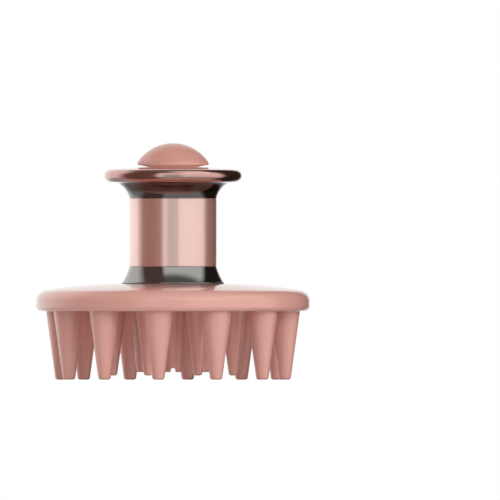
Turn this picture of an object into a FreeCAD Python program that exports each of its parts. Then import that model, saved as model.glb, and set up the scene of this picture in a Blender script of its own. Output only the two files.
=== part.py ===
import FreeCAD, Part
import math
import os

# Scalp applicator brush, standing on its bristle tips. Millimetres, Z up.
# The origin is on the brush's own axis, in the plane of the outer bristle tips.

# Brush head
HEAD_DIAMETER = 80.0
HEAD_HEIGHT = 8.0          # bristle face to the flat seat under the handle
HEAD_EDGE_ROUND = 3.3
HEAD_EDGE_DROP = 1.8       # fall of the domed top from the handle seat to the edge
HEAD_LOWER_ROUND = 1.5
SHELL_WALL = 2.0
RIM_WALL = 2.25
RIM_LEDGE = 0.75           # shelf inside the rim that the face plate stops on
SEAT_MARGIN = 1.0          # flat of the head beyond the handle's collar
PLATE_THICKNESS = 2.0

# Bristles, in two rings
OUTER_COUNT = 12
OUTER_LENGTH = 20.0
OUTER_BASE_DIAMETER = 9.0
OUTER_TIP_DIAMETER = 3.7
OUTER_EDGE_MARGIN = 0.2    # bristle base to the edge of the face plate
MIDDLE_COUNT = 8
MIDDLE_SHORTER = 1.2
MIDDLE_BASE_DIAMETER = 7.6
MIDDLE_TIP_DIAMETER = 2.6
MIDDLE_ROOT_GAP = 1.1      # bristle root to the flange of the nozzle
TIP_ROUND = 0.75
NECK_DIAMETER = 6.0
ROOT_LIP = 0.9             # root flange beyond the neck
ROOT_THICKNESS = 1.0

# Dispensing nozzle in the middle of the bristles
TUBE_COUNT = 4
TUBE_RING_RADIUS = 8.1
TUBE_SHORTER = 2.2
TUBE_BASE_DIAMETER = 7.2
TUBE_TIP_DIAMETER = 5.3
TUBE_BORE = 3.2
TUBE_LIP_ROUND = 0.35
TUBE_SLOT_WIDTH = 1.4      # arched notch across the tube's end, along the brush's radius
TUBE_SLOT_DEPTH = 1.2
NOZZLE_DISC_DIAMETER = 24.8
NOZZLE_FLANGE_LIP = 1.6
NOZZLE_FLANGE_THICKNESS = 1.4
NOZZLE_FLOOR = 1.4
CHAMBER_DIAMETER = 20.0
POST_BASE_DIAMETER = 6.4
POST_TIP_DIAMETER = 4.8
POST_BORE_DEPTH = 6.0      # guide bore of the valve rod, below the bristle face
POST_END = 1.5             # post beyond the end of its bore

# Handle
BARREL_DIAMETER = 25.5
BARREL_LENGTH = 19.9
SLEEVE_WALL = 0.85
RESERVOIR_WALL = 1.2
RESERVOIR_FLOOR = 1.6
MOUTH_DEPTH = 1.0          # reservoir mouth below the top of the sleeve
SPIGOT_DIAMETER = 19.0
SPIGOT_WALL = 1.0
NUT_DIAMETER = 26.0
NUT_NOTCHES = 8
NUT_NOTCH_WIDTH = 3.0
NUT_NOTCH_DEPTH = 1.2
GASKET_THICKNESS = 0.8
COLLAR_FLARE_WIDTH = 2.3   # collar's lip beyond the barrel
COLLAR_LIP_HEIGHT = 0.5
COLLAR_HEIGHT = 5.1
COLLAR_FLARE_ROUND = 10.0

# Cap with its finger flange
FLANGE_DIAMETER = 40.3
FLANGE_THICKNESS = 3.8
FLANGE_CROWN = 0.35
CAP_FLARE_WIDTH = 3.35
CAP_FLARE_HEIGHT = 4.45
CAP_FLARE_ROUND = 7.0
CAP_STEP = 0.25            # flange underside above the end of the flare
WELL_DIAMETER = 22.0
WELL_EDGE_ROUND = 0.35
INSERT_FLANGE = 1.6
INSERT_SKIRT_LENGTH = 6.0
INSERT_SKIRT_WALL = 1.2
GUIDE_WALL = 1.5
GUIDE_HEIGHT = 4.1
HUB_DIAMETER = 9.2
HUB_LENGTH = 4.8
HUB_BORE = 6.4
HUB_LIP = 0.5
SEAL_HEIGHT = 1.5

# Push button
BUTTON_DIAMETER = 20.9
BUTTON_DOME_HEIGHT = 6.6
BUTTON_EDGE_HEIGHT = 0.9
BUTTON_EDGE_ROUND = 0.3
BUTTON_RISE = 0.65         # button edge above the flange
BUTTON_BELLY = 0.85        # flat foot of the button's underside below its edge
BUTTON_FOOT_DIAMETER = 13.8
BUTTON_BELLY_ROUND = 9.0   # hollow of the underside round the foot
BUTTON_TRAVEL = 2.5
PLUNGER_DIAMETER = 16.0
PLUNGER_DISC = 1.25
PLUNGER_SKIRT_LENGTH = 2.7
PLUNGER_SKIRT_WALL = 1.1
PLUNGER_POST_DIAMETER = 9.0
PLUNGER_POST_HEIGHT = 3.8
STEM_DIAMETER = 4.0
STEM_END = 1.3             # stem below the underside of its clip's groove
CLIP_DIAMETER = 6.8
CLIP_THICKNESS = 0.6
CLIP_GROOVE_DEPTH = 0.4
CLIP_GAP_ANGLE = 70.0

# Outlet valve
SEAT_FLANGE_THICKNESS = 1.0
SEAT_DISC = 2.0
SEAT_WALL = 1.4
SEAT_RISE = 1.0            # underside of the seat above the spigot's end
SEAT_HUB_DIAMETER = 6.4
SEAT_HUB_HEIGHT = 2.8
FLOW_HOLES = 6
FLOW_HOLE_DIAMETER = 2.0
FLOW_RING_RADIUS = 4.9
ROD_DIAMETER = 3.0
ROD_FLANGE_DIAMETER = 5.2
ROD_FLANGE_THICKNESS = 0.9
ROD_GUIDE_DEPTH = 3.0      # rod end below the bristle face
DISC_DIAMETER = 12.8
DISC_THICKNESS = 0.8
ROD_COLLAR_DIAMETER = 6.8
ROD_COLLAR_THICKNESS = 1.2

# Coil springs
BUTTON_COIL_DIAMETER = 9.6
BUTTON_COIL_WIRE = 0.6
BUTTON_COIL_TURNS = 4
VALVE_COIL_DIAMETER = 5.0
VALVE_COIL_WIRE = 0.5
VALVE_COIL_LENGTH = 8.0
VALVE_COIL_TURNS = 6

# Clearances
RUNNING_FIT = 0.05         # radial, pieces that slide in each other
LOOSE_FIT = 0.1            # radial, pieces that are put together
PLATE_FIT = 0.15
PUSH_GAP = 0.3             # button stem to the valve rod below it
FACE_GAP = 0.05            # faces that close on each other in use

# Levels, worked out upwards from the bristle tips
FACE_Z = OUTER_LENGTH
PLATE_TOP = FACE_Z + PLATE_THICKNESS
NOZZLE_TOP = PLATE_TOP + NOZZLE_FLANGE_THICKNESS
SPIGOT_END = NOZZLE_TOP + GASKET_THICKNESS
HEAD_TOP = FACE_Z + HEAD_HEIGHT
NUT_TOP = HEAD_TOP - SHELL_WALL
NOZZLE_FLOOR_Z = FACE_Z + NOZZLE_FLOOR
SLEEVE_Z = HEAD_TOP + COLLAR_HEIGHT
CAP_Z = SLEEVE_Z + BARREL_LENGTH
MOUTH_Z = CAP_Z - MOUTH_DEPTH
INSERT_Z = MOUTH_Z + GASKET_THICKNESS
INSERT_TOP = INSERT_Z + INSERT_FLANGE
HUB_END = INSERT_Z - HUB_LENGTH
FLANGE_Z = CAP_Z + CAP_FLARE_HEIGHT + CAP_STEP
FLANGE_TOP = FLANGE_Z + FLANGE_THICKNESS + FLANGE_CROWN
BUTTON_EDGE_Z = FLANGE_TOP + BUTTON_RISE
BUTTON_UNDER_Z = BUTTON_EDGE_Z - BUTTON_BELLY
PLUNGER_TOP = BUTTON_UNDER_Z - PUSH_GAP
PLUNGER_UNDER_Z = PLUNGER_TOP - PLUNGER_DISC
CLIP_TOP = HUB_END - FACE_GAP
CLIP_Z = CLIP_TOP - CLIP_THICKNESS
STEM_Z = CLIP_Z - STEM_END
ROD_TOP = STEM_Z - PUSH_GAP
RESERVOIR_FLOOR_Z = HEAD_TOP + RESERVOIR_FLOOR
VALVE_FACE_Z = SPIGOT_END + SEAT_RISE
VALVE_DISC_Z = VALVE_FACE_Z - FACE_GAP - DISC_THICKNESS
ROD_FLANGE_Z = VALVE_DISC_Z - ROD_FLANGE_THICKNESS
SEAT_HUB_TOP = VALVE_FACE_Z + SEAT_DISC + SEAT_HUB_HEIGHT
ROD_COLLAR_Z = SEAT_HUB_TOP + VALVE_COIL_LENGTH

# Radii that several pieces share
HEAD_R = HEAD_DIAMETER / 2
PLATE_R = HEAD_R - RIM_WALL - PLATE_FIT
LEDGE_R = HEAD_R - RIM_WALL - RIM_LEDGE
BARREL_R = BARREL_DIAMETER / 2
SLEEVE_BORE_R = BARREL_R - SLEEVE_WALL
RESERVOIR_R = SLEEVE_BORE_R - LOOSE_FIT
RESERVOIR_BORE_R = RESERVOIR_R - RESERVOIR_WALL
SPIGOT_R = SPIGOT_DIAMETER / 2
SPIGOT_BORE_R = SPIGOT_R - SPIGOT_WALL
COLLAR_R = BARREL_R + COLLAR_FLARE_WIDTH
SEAT_R = COLLAR_R + SEAT_MARGIN
NOZZLE_DISC_R = NOZZLE_DISC_DIAMETER / 2
NOZZLE_FLANGE_R = NOZZLE_DISC_R + NOZZLE_FLANGE_LIP
NECK_R = NECK_DIAMETER / 2
ROOT_R = NECK_R + ROOT_LIP
OUTER_RING_R = PLATE_R - OUTER_EDGE_MARGIN - OUTER_BASE_DIAMETER / 2
MIDDLE_RING_R = NOZZLE_FLANGE_R + MIDDLE_ROOT_GAP + ROOT_R
WELL_R = WELL_DIAMETER / 2
PLUNGER_R = PLUNGER_DIAMETER / 2
STEM_R = STEM_DIAMETER / 2
ROD_R = ROD_DIAMETER / 2
HUB_BORE_R = HUB_BORE / 2

ORIGIN = FreeCAD.Vector(0, 0, 0)
UP = FreeCAD.Vector(0, 0, 1)
OUTWARD = FreeCAD.Vector(1, 0, 0)
FULL_TURN = 360.0
SAME_POINT = 1e-6
POINTS_PER_QUARTER = 12    # points on a coil's wire where its least gap is measured


def bend(center, radius, start, end):
    """Arc step of an outline, from one polar angle about its centre to another."""
    points = []
    for angle in (start, (start + end) / 2, end):
        turn = math.radians(angle)
        points.append((center[0] + radius * math.cos(turn), center[1] + radius * math.sin(turn)))
    return tuple(points)


def hollow(start, end, radius):
    """Arc step of an outline between two points, bent to the left of the way between them."""
    across, rise = end[0] - start[0], end[1] - start[1]
    chord = math.hypot(across, rise)
    sag = radius - math.sqrt(radius ** 2 - (chord / 2) ** 2)
    middle = (start[0] + across / 2 - sag * rise / chord, start[1] + rise / 2 + sag * across / chord)
    return (start, middle, end)


def turned(outline):
    """Solid turned about Z from a closed outline of (radius, height) points and bends."""
    edges = []
    corners = []
    for step in outline:
        is_bend = isinstance(step[0], tuple)
        points = [FreeCAD.Vector(r, 0, z) for r, z in (step if is_bend else (step,))]
        if corners and corners[-1].distanceToPoint(points[0]) > SAME_POINT:
            edges.append(Part.LineSegment(corners[-1], points[0]).toShape())
        if is_bend:
            edges.append(Part.Arc(*points).toShape())
        corners += [points[0], points[-1]]
    if corners[-1].distanceToPoint(corners[0]) > SAME_POINT:
        edges.append(Part.LineSegment(corners[-1], corners[0]).toShape())
    return Part.Face(Part.Wire(edges)).revolve(ORIGIN, UP, FULL_TURN)


def ring(inner_r, outer_r, low, high):
    return turned([(inner_r, low), (outer_r, low), (outer_r, high), (inner_r, high)])


def rod(radius, low, high, x=0.0, y=0.0):
    return Part.makeCylinder(radius, high - low, FreeCAD.Vector(x, y, low))


def ring_places(count, radius):
    """Centres of evenly spaced copies, the first on the X axis."""
    places = []
    for index in range(count):
        turn = 2 * math.pi * index / count
        places.append(FreeCAD.Vector(radius * math.cos(turn), radius * math.sin(turn), 0))
    return places


def copies(solid, places):
    return [solid.translated(place) for place in places]


def turned_copies(solid, count, first_angle=0.0):
    """Copies turned about the brush's axis in even steps."""
    turns = [first_angle + FULL_TURN * index / count for index in range(count)]
    return [solid.rotated(ORIGIN, UP, turn) for turn in turns]


def head_shell():
    """Domed cover of the head, with the rim that holds the face plate."""
    edge_x = HEAD_R - HEAD_EDGE_ROUND
    edge_z = HEAD_TOP - HEAD_EDGE_ROUND - HEAD_EDGE_DROP
    span = edge_x - SEAT_R
    dome_radius = HEAD_EDGE_ROUND + (span ** 2 + HEAD_EDGE_DROP ** 2) / (2 * HEAD_EDGE_DROP)
    dome_center = (SEAT_R, HEAD_TOP - dome_radius)
    tangent = math.degrees(math.atan2(edge_z - dome_center[1], span))
    lower_center = (HEAD_R - HEAD_LOWER_ROUND, FACE_Z + HEAD_LOWER_ROUND)
    hole_r = SPIGOT_R + LOOSE_FIT
    rim_r = PLATE_R + PLATE_FIT
    rim_ceiling = edge_z + HEAD_EDGE_ROUND - SHELL_WALL
    return turned([
        (hole_r, HEAD_TOP),
        bend(dome_center, dome_radius, 90, tangent),
        bend((edge_x, edge_z), HEAD_EDGE_ROUND, tangent, 0),
        bend(lower_center, HEAD_LOWER_ROUND, 0, -90),
        (rim_r, FACE_Z),
        (rim_r, PLATE_TOP),
        (LEDGE_R, PLATE_TOP),
        (LEDGE_R, rim_ceiling),
        (SEAT_R, NUT_TOP),
        (hole_r, NUT_TOP),
    ])


def face_plate():
    """Round plate that closes the head, with a hole for every bristle neck."""
    plate = ring(NOZZLE_DISC_R + LOOSE_FIT, PLATE_R, FACE_Z, PLATE_TOP)
    hole = rod(NECK_R + LOOSE_FIT, FACE_Z, PLATE_TOP)
    holes = copies(hole, ring_places(OUTER_COUNT, OUTER_RING_R))
    holes += copies(hole, ring_places(MIDDLE_COUNT, MIDDLE_RING_R))
    return plate.cut(holes)


def bristle(tip_z, tip_diameter, base_diameter):
    """Soft tapered finger with a grooved root that grips the face plate."""
    base_r = base_diameter / 2
    tip_r = tip_diameter / 2
    lean = math.degrees(math.atan2(base_r - tip_r, FACE_Z - tip_z))
    round_center = (tip_r - TIP_ROUND, tip_z + TIP_ROUND)
    return turned([
        (0, tip_z),
        bend(round_center, TIP_ROUND, -90, -lean),
        (base_r, FACE_Z),
        (NECK_R, FACE_Z),
        (NECK_R, PLATE_TOP),
        (ROOT_R, PLATE_TOP),
        (ROOT_R, PLATE_TOP + ROOT_THICKNESS),
        (0, PLATE_TOP + ROOT_THICKNESS),
    ])


def outer_bristles():
    finger = bristle(0.0, OUTER_TIP_DIAMETER, OUTER_BASE_DIAMETER)
    return Part.makeCompound(copies(finger, ring_places(OUTER_COUNT, OUTER_RING_R)))


def middle_bristles():
    finger = bristle(MIDDLE_SHORTER, MIDDLE_TIP_DIAMETER, MIDDLE_BASE_DIAMETER)
    return Part.makeCompound(copies(finger, ring_places(MIDDLE_COUNT, MIDDLE_RING_R)))


def nozzle_cluster():
    """Liquid chamber with four slotted tubes round a post that guides the valve rod."""
    chamber_r = CHAMBER_DIAMETER / 2
    pocket_r = ROD_FLANGE_DIAMETER / 2 + PUSH_GAP
    pocket_z = ROD_FLANGE_Z - BUTTON_TRAVEL - PUSH_GAP
    body = turned([
        (0, FACE_Z),
        (NOZZLE_DISC_R, FACE_Z),
        (NOZZLE_DISC_R, PLATE_TOP),
        (NOZZLE_FLANGE_R, PLATE_TOP),
        (NOZZLE_FLANGE_R, NOZZLE_TOP),
        (chamber_r, NOZZLE_TOP),
        (chamber_r, NOZZLE_FLOOR_Z),
        (0, NOZZLE_FLOOR_Z),
    ])
    tip_r = TUBE_TIP_DIAMETER / 2
    lip_center = (tip_r - TUBE_LIP_ROUND, TUBE_SHORTER + TUBE_LIP_ROUND)
    tube = turned([
        (0, TUBE_SHORTER),
        bend(lip_center, TUBE_LIP_ROUND, -90, 0),
        (TUBE_BASE_DIAMETER / 2, FACE_Z),
        (0, FACE_Z),
    ])
    tube.translate(FreeCAD.Vector(TUBE_RING_RADIUS, 0, 0))
    post_z = FACE_Z - POST_BORE_DEPTH - POST_END
    post = turned([
        (0, post_z),
        (POST_TIP_DIAMETER / 2, post_z),
        (POST_BASE_DIAMETER / 2, FACE_Z),
        (0, FACE_Z),
    ])
    bore = rod(TUBE_BORE / 2, 0.0, NOZZLE_TOP, TUBE_RING_RADIUS)
    slot_r = TUBE_SLOT_WIDTH / 2
    slot_x = TUBE_RING_RADIUS - TUBE_BASE_DIAMETER / 2
    slot_z = TUBE_SHORTER + TUBE_SLOT_DEPTH - slot_r
    arch = Part.makeCylinder(slot_r, TUBE_BASE_DIAMETER, FreeCAD.Vector(slot_x, 0, slot_z), OUTWARD)
    mouth = Part.makeBox(TUBE_BASE_DIAMETER, TUBE_SLOT_WIDTH, TUBE_SLOT_DEPTH)
    mouth.translate(FreeCAD.Vector(slot_x, -slot_r, slot_z - TUBE_SLOT_DEPTH))
    between_bristles = -FULL_TURN / MIDDLE_COUNT / 2
    cluster = body.fuse(turned_copies(tube, TUBE_COUNT, between_bristles) + [post]).removeSplitter()
    cuts = []
    for cutter in (bore, arch, mouth):
        cuts += turned_copies(cutter, TUBE_COUNT, between_bristles)
    guide = rod(ROD_R + RUNNING_FIT, FACE_Z - POST_BORE_DEPTH, NOZZLE_TOP)
    pocket = rod(pocket_r, pocket_z, NOZZLE_TOP)
    return cluster.cut(cuts + [guide, pocket])


def manifold_gasket():
    return ring(SPIGOT_BORE_R + SPIGOT_WALL / 2, NOZZLE_FLANGE_R, NOZZLE_TOP, SPIGOT_END)


def lock_nut():
    """Notched ring nut that clamps the reservoir's spigot in the head shell."""
    nut_r = NUT_DIAMETER / 2
    nut = ring(SPIGOT_R + RUNNING_FIT, nut_r, SPIGOT_END, NUT_TOP)
    notch = Part.makeBox(2 * NUT_NOTCH_DEPTH, NUT_NOTCH_WIDTH, NUT_TOP - SPIGOT_END)
    notch.translate(FreeCAD.Vector(nut_r - NUT_NOTCH_DEPTH, -NUT_NOTCH_WIDTH / 2, SPIGOT_END))
    return nut.cut(turned_copies(notch, NUT_NOTCHES))


def base_collar():
    """Flared foot of the handle, seated on the head with a thin rolled lip."""
    lip_round = COLLAR_LIP_HEIGHT / 2
    lip_center = (COLLAR_R - lip_round, HEAD_TOP + lip_round)
    flare_foot = (lip_center[0], HEAD_TOP + COLLAR_LIP_HEIGHT)
    return turned([
        (SLEEVE_BORE_R, HEAD_TOP),
        bend(lip_center, lip_round, -90, 90),
        hollow(flare_foot, (BARREL_R, SLEEVE_Z), COLLAR_FLARE_ROUND),
        (SLEEVE_BORE_R, SLEEVE_Z),
    ])


def barrel_sleeve():
    return ring(SLEEVE_BORE_R, BARREL_R, SLEEVE_Z, CAP_Z)


def reservoir():
    """Bottle inside the handle, with the spigot that goes through the head shell."""
    return turned([
        (SPIGOT_BORE_R, SPIGOT_END),
        (SPIGOT_R, SPIGOT_END),
        (SPIGOT_R, HEAD_TOP),
        (RESERVOIR_R, HEAD_TOP),
        (RESERVOIR_R, MOUTH_Z),
        (RESERVOIR_BORE_R, MOUTH_Z),
        (RESERVOIR_BORE_R, RESERVOIR_FLOOR_Z),
        (SPIGOT_BORE_R, RESERVOIR_FLOOR_Z),
    ])


def valve_seat():
    """Insert in the spigot, with a ring of flow holes and a hub that guides the rod."""
    body_r = SPIGOT_BORE_R - LOOSE_FIT
    flange_r = RESERVOIR_BORE_R - LOOSE_FIT
    hub_r = SEAT_HUB_DIAMETER / 2
    flange_top = RESERVOIR_FLOOR_Z + SEAT_FLANGE_THICKNESS
    disc_top = VALVE_FACE_Z + SEAT_DISC
    seat = turned([
        (ROD_R + RUNNING_FIT, VALVE_FACE_Z),
        (body_r, VALVE_FACE_Z),
        (body_r, RESERVOIR_FLOOR_Z),
        (flange_r, RESERVOIR_FLOOR_Z),
        (flange_r, flange_top),
        (body_r - SEAT_WALL, flange_top),
        (body_r - SEAT_WALL, disc_top),
        (hub_r, disc_top),
        (hub_r, SEAT_HUB_TOP),
        (ROD_R + RUNNING_FIT, SEAT_HUB_TOP),
    ])
    hole = rod(FLOW_HOLE_DIAMETER / 2, VALVE_FACE_Z, disc_top)
    return seat.cut(copies(hole, ring_places(FLOW_HOLES, FLOW_RING_RADIUS)))


def valve_rod():
    """Long rod from the guide post to the button stem, with the flange that holds the disc."""
    flange_r = ROD_FLANGE_DIAMETER / 2
    return turned([
        (0, FACE_Z - ROD_GUIDE_DEPTH),
        (ROD_R, FACE_Z - ROD_GUIDE_DEPTH),
        (ROD_R, ROD_FLANGE_Z),
        (flange_r, ROD_FLANGE_Z),
        (flange_r, VALVE_DISC_Z),
        (ROD_R, VALVE_DISC_Z),
        (ROD_R, ROD_TOP),
        (0, ROD_TOP),
    ])


def valve_disc():
    return ring(ROD_R, DISC_DIAMETER / 2, VALVE_DISC_Z, VALVE_DISC_Z + DISC_THICKNESS)


def rod_collar():
    return ring(ROD_R, ROD_COLLAR_DIAMETER / 2, ROD_COLLAR_Z, ROD_COLLAR_Z + ROD_COLLAR_THICKNESS)


def cap_gasket():
    return ring(RESERVOIR_BORE_R, RESERVOIR_R, MOUTH_Z, INSERT_Z)


def cap_insert():
    """Plug that closes the reservoir's mouth and guides the button."""
    skirt_r = RESERVOIR_BORE_R - LOOSE_FIT
    guide_r = PLUNGER_R + RUNNING_FIT
    hub_r = HUB_DIAMETER / 2
    guide_top = INSERT_TOP + GUIDE_HEIGHT
    return turned([
        (STEM_R + PUSH_GAP, HUB_END),
        (hub_r, HUB_END),
        (hub_r, INSERT_Z),
        (skirt_r - INSERT_SKIRT_WALL, INSERT_Z),
        (skirt_r - INSERT_SKIRT_WALL, INSERT_Z - INSERT_SKIRT_LENGTH),
        (skirt_r, INSERT_Z - INSERT_SKIRT_LENGTH),
        (skirt_r, INSERT_Z),
        (RESERVOIR_R, INSERT_Z),
        (RESERVOIR_R, INSERT_TOP),
        (guide_r + GUIDE_WALL, INSERT_TOP),
        (guide_r + GUIDE_WALL, guide_top),
        (guide_r, guide_top),
        (guide_r, INSERT_TOP),
        (HUB_BORE_R, INSERT_TOP),
        (HUB_BORE_R, HUB_END + HUB_LIP),
        (STEM_R + PUSH_GAP, HUB_END + HUB_LIP),
    ])


def stem_seal():
    seal_z = HUB_END + HUB_LIP
    return ring(STEM_R + RUNNING_FIT, HUB_BORE_R - RUNNING_FIT, seal_z, seal_z + SEAL_HEIGHT)


def guide_bush():
    bush_z = HUB_END + HUB_LIP + SEAL_HEIGHT
    return ring(STEM_R + RUNNING_FIT, HUB_BORE_R - RUNNING_FIT, bush_z, INSERT_TOP)


def top_cap():
    """Cap with a flared neck, a round-edged finger flange and a well for the button."""
    flare_end = (BARREL_R + CAP_FLARE_WIDTH, CAP_Z + CAP_FLARE_HEIGHT)
    rim_round = FLANGE_THICKNESS / 2
    rim_center = (FLANGE_DIAMETER / 2 - rim_round, FLANGE_Z + rim_round)
    well_center = (WELL_R + WELL_EDGE_ROUND, FLANGE_TOP - WELL_EDGE_ROUND)
    cavity_r = RESERVOIR_R + LOOSE_FIT
    return turned([
        (cavity_r, CAP_Z),
        hollow((BARREL_R, CAP_Z), flare_end, CAP_FLARE_ROUND),
        bend(rim_center, rim_round, -90, 90),
        bend(well_center, WELL_EDGE_ROUND, 90, 180),
        (WELL_R, INSERT_TOP),
        (cavity_r, INSERT_TOP),
    ])


def button_dome():
    """Soft domed button with a rounded edge, a hollow belly and a socket for the plunger's post."""
    edge_r = BUTTON_DIAMETER / 2
    dome_rise = BUTTON_DOME_HEIGHT - BUTTON_EDGE_HEIGHT
    dome_radius = (edge_r ** 2 + dome_rise ** 2) / (2 * dome_rise)
    dome_z = BUTTON_EDGE_Z + BUTTON_EDGE_HEIGHT
    dome_center = (0, dome_z + dome_rise - dome_radius)
    dome_start = math.degrees(math.atan2(dome_z - dome_center[1], edge_r))
    edge_center = (edge_r - BUTTON_EDGE_ROUND, BUTTON_EDGE_Z + BUTTON_EDGE_ROUND)
    foot = (BUTTON_FOOT_DIAMETER / 2, BUTTON_UNDER_Z)
    dome = turned([
        (0, BUTTON_UNDER_Z),
        hollow(foot, (edge_center[0], BUTTON_EDGE_Z), BUTTON_BELLY_ROUND),
        bend(edge_center, BUTTON_EDGE_ROUND, -90, 0),
        bend(dome_center, dome_radius, dome_start, 90),
    ])
    post_r = PLUNGER_POST_DIAMETER / 2
    socket_top = PLUNGER_TOP + PLUNGER_POST_HEIGHT + LOOSE_FIT
    return dome.cut(rod(post_r + LOOSE_FIT, PLUNGER_TOP, socket_top))


def button_plunger():
    """Stiff core of the button: post, guided disc and the stem that reaches the valve."""
    post_r = PLUNGER_POST_DIAMETER / 2
    post_top = PLUNGER_TOP + PLUNGER_POST_HEIGHT
    skirt_r = PLUNGER_R - PLUNGER_SKIRT_WALL
    skirt_end = PLUNGER_UNDER_Z - PLUNGER_SKIRT_LENGTH
    groove_r = STEM_R - CLIP_GROOVE_DEPTH
    return turned([
        (0, STEM_Z),
        (STEM_R, STEM_Z),
        (STEM_R, CLIP_Z),
        (groove_r, CLIP_Z),
        (groove_r, CLIP_TOP),
        (STEM_R, CLIP_TOP),
        (STEM_R, PLUNGER_UNDER_Z),
        (skirt_r, PLUNGER_UNDER_Z),
        (skirt_r, skirt_end),
        (PLUNGER_R, skirt_end),
        (PLUNGER_R, PLUNGER_TOP),
        (post_r, PLUNGER_TOP),
        (post_r, post_top),
        (0, post_top),
    ])


def stem_clip():
    """Open ring snapped into the stem's groove, the button's upper stop."""
    outer_r = CLIP_DIAMETER / 2
    groove_r = STEM_R - CLIP_GROOVE_DEPTH
    clip = ring(groove_r, outer_r, CLIP_Z, CLIP_TOP)
    foot = FreeCAD.Vector(0, 0, CLIP_Z)
    wedge = Part.makeCylinder(2 * outer_r, CLIP_THICKNESS, foot, UP, CLIP_GAP_ANGLE)
    return clip.cut(wedge)


def biarc(start, start_way, end, end_way):
    """Two tangent arcs between two points of a helix."""
    chord = end - start
    ways = start_way + end_way
    spread = 2 * (1 - start_way.dot(end_way))
    along = chord.dot(ways)
    arm = (math.sqrt(along ** 2 + spread * chord.dot(chord)) - along) / spread
    middle = (start + end + (start_way - end_way) * arm) * 0.5
    edges = []
    for first, corner, last in ((start, start + start_way * arm, middle),
                                (middle, end - end_way * arm, end)):
        half = (last - first) * 0.5
        half_turn = math.acos(half.Length / arm)
        crest = math.tan(half_turn / 2) / math.tan(half_turn)
        foot = first + half
        edges.append(Part.Arc(first, foot + (corner - foot) * crest, last).toShape())
    return edges


def coil(label, diameter, wire, turns, low, high):
    """Coil spring between two seats, as one unbroken wire of quarter-turn biarcs."""
    radius = diameter / 2
    start_z = low + wire / 2 + FACE_GAP
    rise = high - low - wire - 2 * FACE_GAP
    quarters = 4 * turns

    def place(quarter):
        turn = math.pi / 2 * quarter
        height = start_z + rise * quarter / quarters
        return FreeCAD.Vector(radius * math.cos(turn), radius * math.sin(turn), height)

    def way(quarter):
        turn = math.pi / 2 * quarter
        slope = rise / (math.pi / 2 * quarters)
        return FreeCAD.Vector(-radius * math.sin(turn), radius * math.cos(turn), slope).normalize()

    edges = []
    for quarter in range(quarters):
        edges += biarc(place(quarter), way(quarter), place(quarter + 1), way(quarter + 1))
    section = Part.Wire(Part.makeCircle(wire / 2, place(0), way(0)))
    path = Part.Wire(edges)
    points = path.discretize(POINTS_PER_QUARTER * quarters + 1)
    half_turn = 2 * POINTS_PER_QUARTER
    gaps = []
    for index, point in enumerate(points):
        for other in points[index + half_turn:]:
            gaps.append(point.distanceToPoint(other))
    print(label, "least gap between turns", round(min(gaps) - wire, 3))
    return path.makePipeShell([section], True, False)


def button_spring():
    return coil("button_spring", BUTTON_COIL_DIAMETER, BUTTON_COIL_WIRE, BUTTON_COIL_TURNS,
                INSERT_TOP, PLUNGER_UNDER_Z)


def valve_spring():
    return coil("valve_spring", VALVE_COIL_DIAMETER, VALVE_COIL_WIRE, VALVE_COIL_TURNS,
                SEAT_HUB_TOP, ROD_COLLAR_Z)


PIECES = (
    head_shell, face_plate, outer_bristles, middle_bristles, nozzle_cluster, manifold_gasket,
    lock_nut, base_collar, barrel_sleeve, reservoir, valve_seat, valve_rod, valve_disc,
    valve_spring, rod_collar, cap_gasket, cap_insert, stem_seal, guide_bush, top_cap,
    button_spring, button_plunger, stem_clip, button_dome,
)

os.makedirs("parts", exist_ok=True)
for piece in PIECES:
    shape = piece()
    shape.exportStep(os.path.join("parts", piece.__name__ + ".step"))
    print(piece.__name__, len(shape.Solids), shape.isValid(), round(shape.Volume, 2))
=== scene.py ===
import math

import bmesh
import bpy
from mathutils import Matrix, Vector


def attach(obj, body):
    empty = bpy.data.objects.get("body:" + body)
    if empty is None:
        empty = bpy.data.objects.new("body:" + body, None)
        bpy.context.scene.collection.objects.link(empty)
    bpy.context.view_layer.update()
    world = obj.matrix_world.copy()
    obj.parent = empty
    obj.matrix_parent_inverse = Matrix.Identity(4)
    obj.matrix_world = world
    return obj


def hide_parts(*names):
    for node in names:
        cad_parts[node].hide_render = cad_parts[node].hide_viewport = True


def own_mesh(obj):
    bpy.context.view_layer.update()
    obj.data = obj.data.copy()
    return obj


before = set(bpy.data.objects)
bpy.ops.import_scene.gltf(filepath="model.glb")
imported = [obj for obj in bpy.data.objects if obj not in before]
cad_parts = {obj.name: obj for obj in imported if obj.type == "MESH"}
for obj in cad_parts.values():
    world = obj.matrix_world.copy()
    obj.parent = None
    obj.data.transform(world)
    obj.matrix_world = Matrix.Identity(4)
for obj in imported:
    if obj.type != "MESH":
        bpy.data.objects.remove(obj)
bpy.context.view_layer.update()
MM = 0.001

# Head cover: the round, gently domed shell that carries the handle and hides the liquid ways.
# Injection-moulded ABS in salmon pink under a clear lacquer, turned here from its mould's section.
# A spigot nut clamps it to the handle, and its rim holds the plate with the bristles.
HEAD_R = 40.0
HEAD_FACE, HEAD_SEAT, HEAD_CEILING = 20.0, 28.0, 26.0
HEAD_SEAT_R, HEAD_SEAT_HOLD, HEAD_HOLE_R = 16.05, 2.0, 9.6
HEAD_ROUND, HEAD_DROP, HEAD_LOWER_ROUND = 3.3, 1.8, 1.5
RIM_INNER_R, RIM_LEDGE_R, RIM_LEDGE_Z, RIM_CEILING = 37.75, 37.0, 22.0, 24.2
RIM_EDGE_ROUND = 0.22
HEAD_AROUND, DOME_STEPS, HEAD_EDGE_STEPS = 240, 24, 20
ROUND_STEPS, SMALL_ROUND_STEPS = 14, 5
SHARP_ANGLE = 32.0
ON_AXIS = 1e-6


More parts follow.
